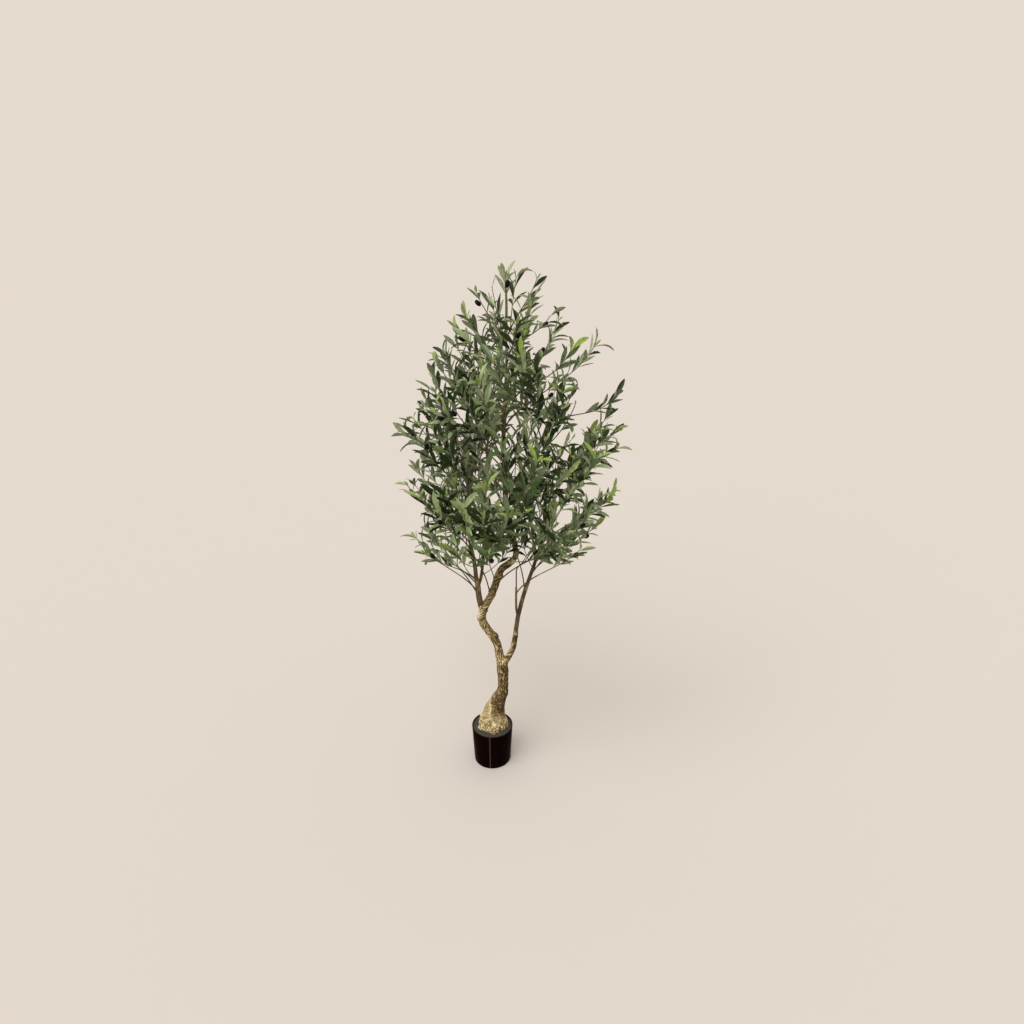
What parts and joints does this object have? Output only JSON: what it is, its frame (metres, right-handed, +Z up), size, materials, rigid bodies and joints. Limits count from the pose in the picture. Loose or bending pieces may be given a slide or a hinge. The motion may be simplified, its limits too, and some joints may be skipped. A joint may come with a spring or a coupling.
{
  "type": "artificial potted olive tree",
  "caption": "Artificial olive tree: moulded trunk with a root flare and plugged-in boughs that carry leaf sprays and olives, cast into a black pot.",
  "frame": {"origin": "centre of the pot's flat underside", "axes": "+Z up along the tree, +X towards the side where the lower bough leaves the trunk, -Y the front"},
  "size_m": [0.7749, 0.733, 1.7982],
  "materials": {
    "pot_plastic": "glossy black moulded nursery pot",
    "cast_filling": "matt dark cast cement",
    "flaked_bark": "moulded flaky tan bark",
    "smooth_bark": "smooth brown wrapped limb",
    "foliage": "satin printed leaves on wire stems"
  },
  "bodies": {
    "root": {"pot": "pot_plastic", "pot_fill": "cast_filling", "trunk": "flaked_bark", "leader": "smooth_bark", "left_bough": "smooth_bark", "left_inner_bough": "smooth_bark", "right_stub": "flaked_bark", "right_bough": "smooth_bark", "right_inner_bough": "smooth_bark", "side_bough": "smooth_bark", "spray_01": "foliage", "spray_02": "foliage", "spray_03": "foliage", "spray_04": "foliage", "spray_05": "foliage", "spray_06": "foliage", "spray_07": "foliage", "spray_08": "foliage", "spray_09": "foliage", "spray_10": "foliage", "spray_11": "foliage", "spray_12": "foliage", "spray_13": "foliage", "spray_14": "foliage", "spray_15": "foliage", "spray_16": "foliage", "spray_17": "foliage", "spray_18": "foliage", "spray_19": "foliage", "spray_20": "foliage", "spray_21": "foliage", "spray_22": "foliage", "spray_23": "foliage", "spray_24": "foliage", "spray_25": "foliage", "spray_26": "foliage", "spray_27": "foliage", "spray_28": "foliage", "spray_29": "foliage", "spray_30": "foliage", "spray_31": "foliage", "spray_32": "foliage", "spray_33": "foliage", "spray_34": "foliage", "spray_35": "foliage", "spray_36": "foliage", "spray_37": "foliage", "spray_38": "foliage", "spray_39": "foliage", "spray_40": "foliage", "spray_41": "foliage", "spray_42": "foliage", "spray_43": "foliage", "spray_44": "foliage", "spray_45": "foliage", "spray_46": "foliage", "spray_47": "foliage"}
  },
  "joints": []
}
